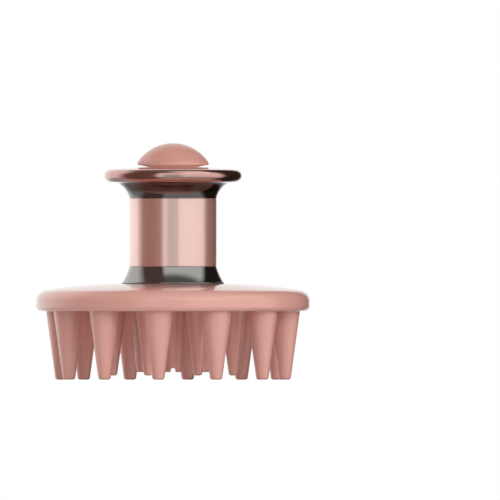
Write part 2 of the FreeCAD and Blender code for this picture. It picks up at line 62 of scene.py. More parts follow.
def arc(center, radius, start, end, steps=ROUND_STEPS):
    """Points of a round in a turned section, as (radius, height, edge share)."""
    points = []
    for step in range(steps + 1):
        share = step / steps
        angle = math.radians(start + (end - start) * share)
        edge_wear_and_shade = math.sin(math.pi * share)
        x = center[0] + radius * math.cos(angle)
        points.append((x, center[1] + radius * math.sin(angle), edge_wear_and_shade))
    return points


def run(start, end, steps):
    """Inner points of a straight side in a turned section."""
    points = []
    for step in range(1, steps):
        share = step / steps
        x = start[0] + (end[0] - start[0]) * share
        points.append((x, start[1] + (end[1] - start[1]) * share))
    return points


def turned_piece(name, section, around, places=((0.0, 0.0),), sharp=SHARP_ANGLE):
    """Closed mesh turned from a section in millimetres, repeated at each place."""
    form = bmesh.new()
    # Each point's third value is kept per vertex: wear on rounds, and painted shade on the cap's neck and
    # flange.
    edge_layer = form.verts.layers.float.new("edge_wear_and_shade")
    for place_x, place_y in places:
        rings = []
        for point in section:
            radius, height = point[0], point[1]
            count = 1 if radius < ON_AXIS else around
            ring = []
            for index in range(count):
                turn = 2 * math.pi * index / around
                x = place_x + radius * math.cos(turn)
                y = place_y + radius * math.sin(turn)
                vert = form.verts.new((x * MM, y * MM, height * MM))
                vert[edge_layer] = point[2] if len(point) > 2 else 0.0
                ring.append(vert)
            rings.append(ring)
        for ring, following in zip(rings, rings[1:] + rings[:1]):
            for index in range(around):
                after = (index + 1) % around
                if len(ring) > 1 and len(following) > 1:
                    form.faces.new((ring[index], ring[after], following[after], following[index]))
                elif len(ring) > 1:
                    form.faces.new((ring[index], ring[after], following[0]))
                elif len(following) > 1:
                    form.faces.new((ring[0], following[after], following[index]))
    bmesh.ops.recalc_face_normals(form, faces=form.faces)
    mesh = bpy.data.meshes.new(name)
    form.to_mesh(mesh)
    form.free()
    mesh.polygons.foreach_set("use_smooth", [True] * len(mesh.polygons))
    mesh.set_sharp_from_angle(angle=math.radians(sharp))
    piece = bpy.data.objects.new(name, mesh)
    bpy.context.scene.collection.objects.link(piece)
    return piece


def shader_group(name, inputs, outputs):
    """Empty shader node group with named sockets; returns it with its two ends."""
    group = bpy.data.node_groups.new(name, "ShaderNodeTree")
    for label, kind, value in inputs:
        socket = group.interface.new_socket(name=label, in_out="INPUT", socket_type=kind)
        socket.default_value = value
    for label, kind in outputs:
        group.interface.new_socket(name=label, in_out="OUTPUT", socket_type=kind)
    return group, group.nodes.new("NodeGroupInput"), group.nodes.new("NodeGroupOutput")


def node(tree, kind, **settings):
    """New shader node with its plain settings and its unlinked socket values."""
    made = tree.nodes.new("ShaderNode" + kind)
    for label, value in settings.items():
        if hasattr(made, label):
            setattr(made, label, value)
        else:
            made.inputs[label.replace("_", " ")].default_value = value
    return made


MIX_SHARE, MIX_FIRST, MIX_SECOND, MIX_RESULT = 0, 6, 7, 2
moulded_skin, skin_in, skin_out = shader_group(
    "moulded_skin",
    (("Colour", "NodeSocketColor", (0.8, 0.8, 0.8, 1)),
     ("Deep colour", "NodeSocketColor", (0.7, 0.7, 0.7, 1)),
     ("Worn colour", "NodeSocketColor", (0.9, 0.9, 0.9, 1)),
     ("Mottle scale", "NodeSocketFloat", 60.0),
     ("Grain scale", "NodeSocketFloat", 2400.0),
     ("Low roughness", "NodeSocketFloat", 0.3),
     ("High roughness", "NodeSocketFloat", 0.4),
     ("Edge wear", "NodeSocketFloat", 0.3)),
    (("Color", "NodeSocketColor"), ("Roughness", "NodeSocketFloat"), ("Height", "NodeSocketFloat")))
skin_place = node(moulded_skin, "TexCoord").outputs["Object"]
skin_cloud = node(moulded_skin, "TexNoise", Detail=3.0, Roughness=0.6)
skin_grain = node(moulded_skin, "TexNoise", Detail=2.0, Roughness=0.5)
skin_edge = node(moulded_skin, "Attribute", attribute_name="edge_wear_and_shade")
skin_mix = node(moulded_skin, "Mix", data_type="RGBA")
skin_worn = node(moulded_skin, "Mix", data_type="RGBA")
skin_patch = node(moulded_skin, "Math", operation="MULTIPLY")
skin_wear = node(moulded_skin, "Math", operation="MULTIPLY", use_clamp=True)
skin_rough = node(moulded_skin, "MapRange", From_Min=0.3, From_Max=0.7)
skin_link = moulded_skin.links.new
for texture, scale_name in ((skin_cloud, "Mottle scale"), (skin_grain, "Grain scale")):
    skin_link(skin_place, texture.inputs["Vector"])
    skin_link(skin_in.outputs[scale_name], texture.inputs["Scale"])
skin_link(skin_cloud.outputs["Fac"], skin_mix.inputs[MIX_SHARE])
skin_link(skin_in.outputs["Colour"], skin_mix.inputs[MIX_FIRST])
skin_link(skin_in.outputs["Deep colour"], skin_mix.inputs[MIX_SECOND])
skin_link(skin_edge.outputs["Fac"], skin_patch.inputs[0])
skin_link(skin_grain.outputs["Fac"], skin_patch.inputs[1])
skin_link(skin_patch.outputs["Value"], skin_wear.inputs[0])
skin_link(skin_in.outputs["Edge wear"], skin_wear.inputs[1])
skin_link(skin_wear.outputs["Value"], skin_worn.inputs[MIX_SHARE])
skin_link(skin_mix.outputs[MIX_RESULT], skin_worn.inputs[MIX_FIRST])
skin_link(skin_in.outputs["Worn colour"], skin_worn.inputs[MIX_SECOND])
skin_link(skin_cloud.outputs["Fac"], skin_rough.inputs["Value"])
skin_link(skin_in.outputs["Low roughness"], skin_rough.inputs["To Min"])
skin_link(skin_in.outputs["High roughness"], skin_rough.inputs["To Max"])
skin_link(skin_worn.outputs[MIX_RESULT], skin_out.inputs["Color"])
skin_link(skin_rough.outputs["Result"], skin_out.inputs["Roughness"])
skin_link(skin_grain.outputs["Fac"], skin_out.inputs["Height"])


def surface(name, group, values, bump, **constants):
    """Material with one Principled shader fed by a surface group and a fine bump."""
    material = bpy.data.materials.new(name)
    material.use_nodes = True
    tree = material.node_tree
    shader = tree.nodes["Principled BSDF"]
    skin = tree.nodes.new("ShaderNodeGroup")
    skin.node_tree = group
    for label, value in values.items():
        skin.inputs[label].default_value = value
    relief = node(tree, "Bump", Strength=0.6, Distance=bump * MM)
    tree.links.new(skin.outputs["Color"], shader.inputs["Base Color"])
    tree.links.new(skin.outputs["Roughness"], shader.inputs["Roughness"])
    tree.links.new(skin.outputs["Height"], relief.inputs["Height"])
    tree.links.new(relief.outputs["Normal"], shader.inputs["Normal"])
    for label, value in constants.items():
        shader.inputs[label.replace("_", " ")].default_value = value
    return material


def dressed(piece, material, body, slot, *nodes):
    """Gives a piece its finish and its body, and hides the solids that it stands for. The slot is not used.
    """
    piece.data.materials.clear()
    piece.data.materials.append(material)
    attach(piece, body)
    if nodes:
        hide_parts(*nodes)


head_edge_x = HEAD_R - HEAD_ROUND
head_edge_z = HEAD_SEAT - HEAD_ROUND - HEAD_DROP
head_span = head_edge_x - HEAD_SEAT_R
head_dome_r = HEAD_ROUND + (head_span ** 2 + HEAD_DROP ** 2) / (2 * HEAD_DROP)
head_dome_center = (HEAD_SEAT_R, HEAD_SEAT - head_dome_r)
head_tangent = math.degrees(math.atan2(head_edge_z - head_dome_center[1], head_span))
head_lower_center = (HEAD_R - HEAD_LOWER_ROUND, HEAD_FACE + HEAD_LOWER_ROUND)
rim_edge_center = (RIM_INNER_R + RIM_EDGE_ROUND, HEAD_FACE + RIM_EDGE_ROUND)
head_section = [(HEAD_HOLE_R, HEAD_SEAT), (HEAD_SEAT_R - HEAD_SEAT_HOLD, HEAD_SEAT)]
head_section += [point[:2] for point in arc(head_dome_center, head_dome_r, 90, head_tangent, DOME_STEPS)]
head_section += arc((head_edge_x, head_edge_z), HEAD_ROUND, head_tangent, 0, HEAD_EDGE_STEPS)[1:]
head_section += arc(head_lower_center, HEAD_LOWER_ROUND, 0, -90)
head_section += arc(rim_edge_center, RIM_EDGE_ROUND, -90, -180, SMALL_ROUND_STEPS)
head_section += [(RIM_INNER_R, RIM_LEDGE_Z), (RIM_LEDGE_R, RIM_LEDGE_Z), (RIM_LEDGE_R, RIM_CEILING),
                 (HEAD_SEAT_R, HEAD_CEILING), (HEAD_HOLE_R, HEAD_CEILING)]
head_cover = turned_piece("head_cover", head_section, HEAD_AROUND)
satin_pink = surface(
    "satin_pink_shell", moulded_skin,
    {"Colour": (0.745, 0.372, 0.312, 1), "Deep colour": (0.715, 0.346, 0.286, 1),
     "Worn colour": (0.80, 0.46, 0.40, 1), "Mottle scale": 55.0, "Grain scale": 2600.0,
     "Low roughness": 0.28, "High roughness": 0.36, "Edge wear": 0.35},
    bump=0.006, Coat_Weight=0.9, Coat_Roughness=0.07, Coat_IOR=1.5)
dressed(head_cover, satin_pink, "brush", "pink_plastic", "head_shell")

# Bristle plate: the flat round plate that closes the head from below.
# Same pink ABS, moulded with a hole for every bristle neck and one for the nozzle.
# It snaps against the ledge inside the cover's rim, with its edges softly broken.
PLATE_R, PLATE_BORE_R = 37.6, 12.5
PLATE_LOW, PLATE_HIGH = 20.0, 22.0
PLATE_EDGE = 0.18
NECK_HOLE_R = 3.1
BORE_AROUND, NECK_HOLE_AROUND = 120, 36
WELD_GAP = 0.001
OUTER_RING_R, OUTER_COUNT = 32.9, 12
MIDDLE_RING_R, MIDDLE_COUNT = 19.0, 8


def ring_places(count, radius):
    """Centres of evenly spaced copies, the first on the X axis."""
    places = []
    for index in range(count):
        turn = 2 * math.pi * index / count
        places.append((radius * math.cos(turn), radius * math.sin(turn)))
    return places


plate_outline = bpy.data.curves.new("plate_outline", "CURVE")
plate_outline.dimensions = "2D"
plate_outline.fill_mode = "BOTH"
plate_outline.extrude = (PLATE_HIGH - PLATE_LOW) / 2 * MM - PLATE_EDGE * MM
plate_outline.bevel_depth = PLATE_EDGE * MM
plate_outline.bevel_resolution = 2
plate_outline.offset = -PLATE_EDGE * MM
plate_rounds = [(0.0, 0.0, PLATE_R, HEAD_AROUND), (0.0, 0.0, PLATE_BORE_R, BORE_AROUND)]
neck_places = ring_places(OUTER_COUNT, OUTER_RING_R) + ring_places(MIDDLE_COUNT, MIDDLE_RING_R)
for plate_x, plate_y in neck_places:
    plate_rounds.append((plate_x, plate_y, NECK_HOLE_R, NECK_HOLE_AROUND))
for plate_x, plate_y, plate_hole_r, plate_steps in plate_rounds:
    plate_loop = plate_outline.splines.new("POLY")
    plate_loop.points.add(plate_steps - 1)
    for index, point in enumerate(plate_loop.points):
        turn = 2 * math.pi * index / plate_steps
        x = plate_x + plate_hole_r * math.cos(turn)
        point.co = (x * MM, (plate_y + plate_hole_r * math.sin(turn)) * MM, 0, 1)
    plate_loop.use_cyclic_u = True
plate_drawing = bpy.data.objects.new("plate_drawing", plate_outline)
plate_mesh = bpy.data.meshes.new_from_object(plate_drawing)
plate_form = bmesh.new()
plate_form.from_mesh(plate_mesh)
bmesh.ops.remove_doubles(plate_form, verts=plate_form.verts, dist=WELD_GAP * MM)
plate_middle = (PLATE_LOW + PLATE_HIGH) / 2
bmesh.ops.translate(plate_form, verts=plate_form.verts, vec=(0, 0, plate_middle * MM))
bmesh.ops.recalc_face_normals(plate_form, faces=plate_form.faces)
plate_form.to_mesh(plate_mesh)
plate_form.free()
plate_mesh.set_sharp_from_angle(angle=math.radians(SHARP_ANGLE))
bpy.data.objects.remove(plate_drawing)
bristle_plate = bpy.data.objects.new("bristle_plate", plate_mesh)
bpy.context.scene.collection.objects.link(bristle_plate)
dressed(bristle_plate, satin_pink, "brush", "pink_plastic", "face_plate")

# Outer bristles: twelve soft tapered fingers in one ring, which the brush also stands on.
# Moulded silicone rubber with a glossy skin; each has a grooved root pulled through its hole in the plate.
# The ends are cut nearly flat with a small round, and rub a little paler in use.
OUTER_TIP_Z, OUTER_TIP_R, OUTER_BASE_R = 0.0, 1.85, 4.5
NECK_R, ROOT_R, ROOT_Z = 3.0, 3.9, 23.0
TIP_ROUND, TIP_FLAT_SHARE = 0.75, 0.6
TIP_MIDDLE_WEAR, TIP_FLAT_WEAR, WEAR_FADE = 0.6, 0.7, 3.0
TIP_STEPS, FINGER_STEPS, FINGER_AROUND = 10, 12, 48


def finger_section(tip_z, tip_r, base_r):
    """Section of a bristle from its rounded, worn end to the flange of its root."""
    lean = math.degrees(math.atan2(base_r - tip_r, HEAD_FACE - tip_z))
    round_center = (tip_r - TIP_ROUND, tip_z + TIP_ROUND)
    section = [(0.0, tip_z, TIP_MIDDLE_WEAR), (round_center[0] * TIP_FLAT_SHARE, tip_z, TIP_FLAT_WEAR)]
    section += [(*point[:2], 1.0) for point in arc(round_center, TIP_ROUND, -90, -lean, TIP_STEPS)]
    for x, z in run(section[-1], (base_r, HEAD_FACE), FINGER_STEPS):
        section.append((x, z, max(0.0, 1.0 - (z - tip_z) / WEAR_FADE)))
    section += [(base_r, HEAD_FACE), (NECK_R, HEAD_FACE), (NECK_R, PLATE_HIGH), (ROOT_R, PLATE_HIGH)]
    section += [(ROOT_R, ROOT_Z), (0.0, ROOT_Z)]
    return section


outer_fingers = turned_piece(
    "outer_fingers", finger_section(OUTER_TIP_Z, OUTER_TIP_R, OUTER_BASE_R),
    FINGER_AROUND, ring_places(OUTER_COUNT, OUTER_RING_R))
pink_silicone = surface(
    "pink_silicone", moulded_skin,
    {"Colour": (0.735, 0.375, 0.315, 1), "Deep colour": (0.70, 0.345, 0.285, 1),
     "Worn colour": (0.77, 0.43, 0.37, 1), "Mottle scale": 140.0, "Grain scale": 3200.0,
     "Low roughness": 0.34, "High roughness": 0.44, "Edge wear": 0.3},
    bump=0.010, Subsurface_Weight=0.06, Subsurface_Radius=(0.9, 0.4, 0.3), Subsurface_Scale=0.0012,
    Coat_Weight=0.8, Coat_Roughness=0.09, Coat_IOR=1.5)
dressed(outer_fingers, pink_silicone, "brush", "pink_silicone", "outer_bristles")

# Middle bristles: eight slimmer fingers between the outer ring and the nozzle.
# Same silicone and same grooved root, 1.2 mm shorter so that the outer ring touches first.
MIDDLE_TIP_Z, MIDDLE_TIP_R, MIDDLE_BASE_R = 1.2, 1.30, 3.8
middle_fingers = turned_piece(
    "middle_fingers", finger_section(MIDDLE_TIP_Z, MIDDLE_TIP_R, MIDDLE_BASE_R),
    FINGER_AROUND, ring_places(MIDDLE_COUNT, MIDDLE_RING_R))
dressed(middle_fingers, pink_silicone, "brush", "pink_silicone", "middle_bristles")

# Dispensing nozzle: four hollow tubes with slotted ends on one round chamber.
# One silicone moulding that is clamped under the reservoir; the slots let the serum out
# when the ends are pressed on the skin. A short post in the middle guides the valve rod.


def finished_node(name, material):
    """Gives a solid that already has its true shape its finish."""
    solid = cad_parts[name]
    solid.data.materials.clear()
    solid.data.materials.append(material)


finished_node("nozzle_cluster", pink_silicone)

# Clamp of the head: a notched ring nut on the reservoir's spigot, with a flat gasket below.
# The nut is white glass-filled nylon, and the gasket is a punched ring of dark rubber
# that seals the chamber; both stay hidden inside the closed head.
white_moulding = surface(
    "white_moulding", moulded_skin,
    {"Colour": (0.80, 0.78, 0.74, 1), "Deep colour": (0.74, 0.71, 0.67, 1),
     "Worn colour": (0.86, 0.85, 0.83, 1), "Mottle scale": 110.0, "Grain scale": 3000.0,
     "Low roughness": 0.30, "High roughness": 0.42, "Edge wear": 0.3},
    bump=0.010)
seal_rubber = surface(
    "seal_rubber", moulded_skin,
    {"Colour": (0.060, 0.055, 0.053, 1), "Deep colour": (0.040, 0.037, 0.036, 1),
     "Worn colour": (0.13, 0.12, 0.115, 1), "Mottle scale": 220.0, "Grain scale": 4200.0,
     "Low roughness": 0.55, "High roughness": 0.72, "Edge wear": 0.5},
    bump=0.015)
finished_node("lock_nut", white_moulding)
finished_node("manifold_gasket", seal_rubber)

# Base collar: the flared metal foot between the barrel and the head.
# Spun brass with a dark mirror plating and a thin rolled lip; it is slipped over the bottle,
# sits on the flat of the head and carries the barrel.
BARREL_R, BARREL_BORE_R = 12.75, 11.9
COLLAR_LIP_R, COLLAR_LIP_ROUND = 15.05, 0.25
COLLAR_FLARE_ROUND, COLLAR_TOP = 18.0, 33.1
SEAM_EDGE, SEAM_HOLD = 0.10, 0.04
LIP_STEPS, FLARE_STEPS, SEAM_STEPS = 10, 28, 4
HANDLE_AROUND = 192
buffed_metal, metal_in, metal_out = shader_group(
    "buffed_metal",
    (("Colour", "NodeSocketColor", (0.5, 0.5, 0.5, 1)),
     ("Tarnish", "NodeSocketColor", (0.4, 0.4, 0.4, 1)),
     ("Edge colour", "NodeSocketColor", (0.6, 0.6, 0.6, 1)),
     ("Smudge scale", "NodeSocketFloat", 70.0),
     ("Low roughness", "NodeSocketFloat", 0.04),
     ("High roughness", "NodeSocketFloat", 0.09)),
    (("Color", "NodeSocketColor"), ("Roughness", "NodeSocketFloat"), ("Height", "NodeSocketFloat")))
metal_place = node(buffed_metal, "TexCoord").outputs["Object"]
metal_smudge = node(buffed_metal, "TexNoise", Detail=4.0, Roughness=0.65)
metal_stretch = node(buffed_metal, "Mapping", Scale=(60.0, 60.0, 5200.0))
metal_lines = node(buffed_metal, "TexNoise", Scale=1.0, Detail=2.0, Roughness=0.5)
# The per-vertex value mixes in the edge colour: wear on small rounds, and painted shade under the cap's
# flange and up the neck's hollow.
metal_wear_and_shade = node(buffed_metal, "Attribute", attribute_name="edge_wear_and_shade")
metal_mix = node(buffed_metal, "Mix", data_type="RGBA")
metal_wear_shade_mix = node(buffed_metal, "Mix", data_type="RGBA")
metal_wear_shade_mask = node(buffed_metal, "Math", operation="MULTIPLY", use_clamp=True)
metal_rough = node(buffed_metal, "MapRange", From_Min=0.3, From_Max=0.7)
metal_link = buffed_metal.links.new
metal_link(metal_place, metal_smudge.inputs["Vector"])
metal_link(metal_in.outputs["Smudge scale"], metal_smudge.inputs["Scale"])
metal_link(metal_place, metal_stretch.inputs["Vector"])
metal_link(metal_stretch.outputs["Vector"], metal_lines.inputs["Vector"])
metal_link(metal_smudge.outputs["Fac"], metal_mix.inputs[MIX_SHARE])
metal_link(metal_in.outputs["Colour"], metal_mix.inputs[MIX_FIRST])
metal_link(metal_in.outputs["Tarnish"], metal_mix.inputs[MIX_SECOND])
metal_link(metal_wear_and_shade.outputs["Fac"], metal_wear_shade_mask.inputs[0])
metal_link(metal_smudge.outputs["Fac"], metal_wear_shade_mask.inputs[1])
metal_link(metal_wear_shade_mask.outputs["Value"], metal_wear_shade_mix.inputs[MIX_SHARE])
metal_link(metal_mix.outputs[MIX_RESULT], metal_wear_shade_mix.inputs[MIX_FIRST])
metal_link(metal_in.outputs["Edge colour"], metal_wear_shade_mix.inputs[MIX_SECOND])
metal_link(metal_smudge.outputs["Fac"], metal_rough.inputs["Value"])
metal_link(metal_in.outputs["Low roughness"], metal_rough.inputs["To Min"])
metal_link(metal_in.outputs["High roughness"], metal_rough.inputs["To Max"])
metal_link(metal_wear_shade_mix.outputs[MIX_RESULT], metal_out.inputs["Color"])
metal_link(metal_rough.outputs["Result"], metal_out.inputs["Roughness"])
metal_link(metal_lines.outputs["Fac"], metal_out.inputs["Height"])


def hollow(start, end, radius, steps):
    """Points of an arc in a turned section, with its centre to the right of the way from start to end."""
    across, rise = end[0] - start[0], end[1] - start[1]
    chord = math.hypot(across, rise)
    depth = math.sqrt(radius ** 2 - (chord / 2) ** 2)
    center_x = start[0] + across / 2 + depth * rise / chord
    center = (center_x, start[1] + rise / 2 - depth * across / chord)
    first = math.degrees(math.atan2(start[1] - center[1], start[0] - center[0])) % 360
    last = math.degrees(math.atan2(end[1] - center[1], end[0] - center[0])) % 360
    return [point[:2] for point in arc(center, radius, first, last, steps)]


def seam_low(radius, height):
    """Broken lower edge of a turned sleeve, with a ring that keeps its shading short."""
    points = arc((radius - SEAM_EDGE, height + SEAM_EDGE), SEAM_EDGE, -90, 0, SEAM_STEPS)
    return points + [(radius, height + SEAM_EDGE + SEAM_HOLD)]


def seam_high(radius, height):
    """Broken upper edge of a turned sleeve, with a ring that keeps its shading short."""
    points = arc((radius - SEAM_EDGE, height - SEAM_EDGE), SEAM_EDGE, 0, 90, SEAM_STEPS)
    return [(radius, height - SEAM_EDGE - SEAM_HOLD)] + points


collar_lip_center = (COLLAR_LIP_R - COLLAR_LIP_ROUND, HEAD_SEAT + COLLAR_LIP_ROUND)
collar_flare_foot = (collar_lip_center[0], HEAD_SEAT + 2 * COLLAR_LIP_ROUND)
collar_flare_end = (BARREL_R, COLLAR_TOP - SEAM_EDGE - SEAM_HOLD)
collar_section = [(BARREL_BORE_R, HEAD_SEAT)]
collar_section += arc(collar_lip_center, COLLAR_LIP_ROUND, -90, 90, LIP_STEPS)
collar_section += hollow(collar_flare_foot, collar_flare_end, COLLAR_FLARE_ROUND, FLARE_STEPS)[1:-1]
collar_section += seam_high(BARREL_R, COLLAR_TOP)
collar_section += [(BARREL_BORE_R, COLLAR_TOP)]
collar_foot = turned_piece("collar_foot", collar_section, HANDLE_AROUND)
collar_chrome = surface(
    "collar_dark_chrome", buffed_metal,
    {"Colour": (0.375, 0.370, 0.358, 1), "Tarnish": (0.335, 0.328, 0.316, 1),
     "Edge colour": (0.30, 0.295, 0.285, 1), "Smudge scale": 70.0,
     "Low roughness": 0.06, "High roughness": 0.12},
    bump=0.0004, Metallic=1.0)
dressed(collar_foot, collar_chrome, "brush", "dark_chrome", "base_collar")

# Barrel sleeve: the straight decorated tube of the handle round the reservoir.
# Drawn aluminium with a rose metallic coat under thick clear lacquer, slipped over
# the bottle and held between the collar and the cap.
BARREL_TOP, BARREL_STEPS = 53.0, 12
barrel_section = [(BARREL_BORE_R, COLLAR_TOP)]
barrel_section += seam_low(BARREL_R, COLLAR_TOP)
barrel_ends = ((BARREL_R, COLLAR_TOP + SEAM_EDGE), (BARREL_R, BARREL_TOP - SEAM_EDGE))
barrel_section += run(*barrel_ends, BARREL_STEPS)
barrel_section += seam_high(BARREL_R, BARREL_TOP)
barrel_section += [(BARREL_BORE_R, BARREL_TOP)]
barrel_tube = turned_piece("barrel_tube", barrel_section, HANDLE_AROUND)
rose_lacquer = surface(
    "rose_lacquer", buffed_metal,
    {"Colour": (0.92, 0.49, 0.395, 1), "Tarnish": (0.88, 0.455, 0.36, 1),
     "Edge colour": (0.88, 0.58, 0.52, 1), "Smudge scale": 60.0,
     "Low roughness": 0.42, "High roughness": 0.48},
    bump=0.0003, Metallic=0.68, Coat_Weight=1.0, Coat_Roughness=0.03, Coat_IOR=3.4)
dressed(barrel_tube, rose_lacquer, "brush", "rose_metal", "barrel_sleeve")

# Reservoir: the bottle inside the handle that is filled with serum.
# Milky polypropylene, blow-moulded with an open mouth and a spigot at its foot
# that goes through the head and takes the ring nut.
BOTTLE_R, BOTTLE_BORE_R = 11.8, 10.6
SPIGOT_R, SPIGOT_BORE_R = 9.5, 8.5
SPIGOT_END, BOTTLE_FLOOR, BOTTLE_MOUTH = 24.2, 29.6, 52.0
MOUTH_ROUND = 0.25
INNER_AROUND = 128
bottle_section = [(SPIGOT_BORE_R, SPIGOT_END), (SPIGOT_R, SPIGOT_END), (SPIGOT_R, HEAD_SEAT)]
bottle_section += [(BOTTLE_R, HEAD_SEAT)]
mouth_round_z = BOTTLE_MOUTH - MOUTH_ROUND
bottle_section += arc((BOTTLE_R - MOUTH_ROUND, mouth_round_z), MOUTH_ROUND, 0, 90, SMALL_ROUND_STEPS)
bottle_section += arc((BOTTLE_BORE_R + MOUTH_ROUND, mouth_round_z), MOUTH_ROUND, 90, 180, SMALL_ROUND_STEPS)
bottle_section += [(BOTTLE_BORE_R, BOTTLE_FLOOR), (SPIGOT_BORE_R, BOTTLE_FLOOR)]
reservoir_bottle = turned_piece("reservoir_bottle", bottle_section, INNER_AROUND)
dressed(reservoir_bottle, white_moulding, "brush", "white_plastic", "reservoir")

# Outlet valve: a seat with flow holes in the spigot, and a rod that carries a rubber disc.
# Seat, rod and rod collar are white acetal; a steel coil under the rod collar holds the disc
# shut against the seat, until the button's stem pushes the rod down and opens the holes.
spring_steel = surface(
    "spring_steel", buffed_metal,
    {"Colour": (0.60, 0.60, 0.61, 1), "Tarnish": (0.50, 0.49, 0.49, 1),
     "Edge colour": (0.70, 0.70, 0.70, 1), "Smudge scale": 400.0,
     "Low roughness": 0.16, "High roughness": 0.30},
    bump=0.001, Metallic=1.0)
for valve_node in ("valve_seat", "valve_rod", "rod_collar"):
    finished_node(valve_node, white_moulding)
finished_node("valve_disc", seal_rubber)
COIL_STEPS, COIL_SIDES, COIL_SHARP = 32, 12, 40.0
COIL_GAP = 0.05
VALVE_COIL_R, VALVE_COIL_WIRE, VALVE_COIL_TURNS = 2.5, 0.5, 6
VALVE_COIL_LOW, VALVE_COIL_HIGH = 30.0, 38.0


def coil_piece(name, radius, wire, turns, low, high):
    """Coil spring of round wire between two seats, closed at both ends of the wire."""
    form = bmesh.new()
    start = low + wire / 2 + COIL_GAP
    rise = high - low - wire - 2 * COIL_GAP
    slope = rise / (2 * math.pi * turns)
    slant = math.hypot(radius, slope)
    rings = []
    for step in range(turns * COIL_STEPS + 1):
        turn = 2 * math.pi * step / COIL_STEPS
        outward = Vector((math.cos(turn), math.sin(turn), 0))
        upward = Vector((math.sin(turn) * slope, -math.cos(turn) * slope, radius)) / slant
        center = outward * radius + Vector((0, 0, start + slope * turn))
        ring = []
        for side in range(COIL_SIDES):
            angle = 2 * math.pi * side / COIL_SIDES
            spot = center + (outward * math.cos(angle) + upward * math.sin(angle)) * (wire / 2)
            ring.append(form.verts.new(spot * MM))
        rings.append(ring)
    for ring, following in zip(rings, rings[1:]):
        for side in range(COIL_SIDES):
            after = (side + 1) % COIL_SIDES
            form.faces.new((ring[side], ring[after], following[after], following[side]))
    form.faces.new(rings[0])
    form.faces.new(rings[-1])
    bmesh.ops.recalc_face_normals(form, faces=form.faces)
    mesh = bpy.data.meshes.new(name)
    form.to_mesh(mesh)
    form.free()
    mesh.polygons.foreach_set("use_smooth", [True] * len(mesh.polygons))
    mesh.set_sharp_from_angle(angle=math.radians(COIL_SHARP))
    piece = bpy.data.objects.new(name, mesh)
    bpy.context.scene.collection.objects.link(piece)
    return piece


valve_coil = coil_piece("valve_coil", VALVE_COIL_R, VALVE_COIL_WIRE, VALVE_COIL_TURNS,
                        VALVE_COIL_LOW, VALVE_COIL_HIGH)
dressed(valve_coil, spring_steel, "brush", "spring_steel", "valve_spring")
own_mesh(valve_coil)

# Cap plug: the white insert in the cap that closes the bottle's mouth and guides the button.
# Acetal, turned with a skirt, a hub and a guide sleeve; a rubber gasket lies under its flange,
# and a lip seal with a bush above it closes the hub round the stem.
PLUG_LOW, PLUG_FLANGE_LOW, PLUG_FLANGE_TOP, GUIDE_TOP = 46.8, 52.8, 54.4, 58.5
HUB_END, HUB_R, HUB_BORE_R, HUB_LIP_TOP, STEM_HOLE_R = 48.0, 4.6, 3.2, 48.5, 2.3
SKIRT_R, SKIRT_BORE_R = 10.5, 9.3
GUIDE_R, GUIDE_BORE_R = 9.55, 8.05
SKIRT_ROUND, SKIRT_STEPS, HUB_CHAMFER = 0.4, 6, 0.3
plug_section = [(STEM_HOLE_R, HUB_END), (HUB_R - HUB_CHAMFER, HUB_END), (HUB_R, HUB_END + HUB_CHAMFER)]
plug_section += [(HUB_R, PLUG_FLANGE_LOW), (SKIRT_BORE_R, PLUG_FLANGE_LOW)]
plug_section += [(SKIRT_BORE_R, PLUG_LOW)]
plug_section += arc((SKIRT_R - SKIRT_ROUND, PLUG_LOW + SKIRT_ROUND), SKIRT_ROUND, -90, 0, SKIRT_STEPS)
plug_section += [(SKIRT_R, PLUG_FLANGE_LOW), (BOTTLE_R, PLUG_FLANGE_LOW), (BOTTLE_R, PLUG_FLANGE_TOP)]
plug_section += [(GUIDE_R, PLUG_FLANGE_TOP), (GUIDE_R, GUIDE_TOP), (GUIDE_BORE_R, GUIDE_TOP)]
plug_section += [(GUIDE_BORE_R, PLUG_FLANGE_TOP), (HUB_BORE_R, PLUG_FLANGE_TOP)]
plug_section += [(HUB_BORE_R, HUB_LIP_TOP), (STEM_HOLE_R, HUB_LIP_TOP)]
cap_plug = turned_piece("cap_plug", plug_section, INNER_AROUND)
dressed(cap_plug, white_moulding, "cap", "white_plastic", "cap_insert")
finished_node("cap_gasket", seal_rubber)
finished_node("stem_seal", seal_rubber)
finished_node("guide_bush", white_moulding)

# Cap neck: the flared lower part of the cap, which stands on the barrel.
# One brass turning with the flange, made apart here for its finish: the collar's dark mirror plating,
# painted darker and warmer as shade under the flange, and darker still with painted shade up its hollow.
CAP_LOW, CAP_BORE_R = 53.0, 11.9
CAP_FLARE_END, CAP_FLARE_ROUND = (16.1, 57.45), 7.0
# Painted shade: the upper part of the hollow, under the flange, fades towards the near-black edge colour.
HOLLOW_SHADE_LOW, HOLLOW_SHADE_FADE, HOLLOW_PAINTED_SHADE = 54.5, 0.9, 1.6
cap_neck_section = [(CAP_BORE_R, CAP_LOW)]
cap_neck_section += seam_low(BARREL_R, CAP_LOW)
# Painted shade up the hollow, carried in each section point's third value.
for x, z in hollow(cap_neck_section[-1], CAP_FLARE_END, CAP_FLARE_ROUND, FLARE_STEPS)[1:]:
    painted_shade_share = min(1.0, max(0.0, (z - HOLLOW_SHADE_LOW) / HOLLOW_SHADE_FADE))
    cap_neck_section.append((x, z, HOLLOW_PAINTED_SHADE * painted_shade_share))
cap_neck_section += [(CAP_BORE_R, CAP_FLARE_END[1])]
cap_neck = turned_piece("cap_neck", cap_neck_section, HANDLE_AROUND)
# Painted shade: this plating is painted darker and warmer than the collar's, and its edge colour is near
# black.
neck_chrome_shaded = surface(
    "neck_chrome_painted_shade", buffed_metal,
    {"Colour": (0.300, 0.275, 0.265, 1), "Tarnish": (0.255, 0.230, 0.220, 1),
     "Edge colour": (0.075, 0.058, 0.052, 1), "Smudge scale": 70.0,
     "Low roughness": 0.08, "High roughness": 0.14},
    bump=0.0004, Metallic=1.0)
dressed(cap_neck, neck_chrome_shaded, "cap", "dark_chrome")
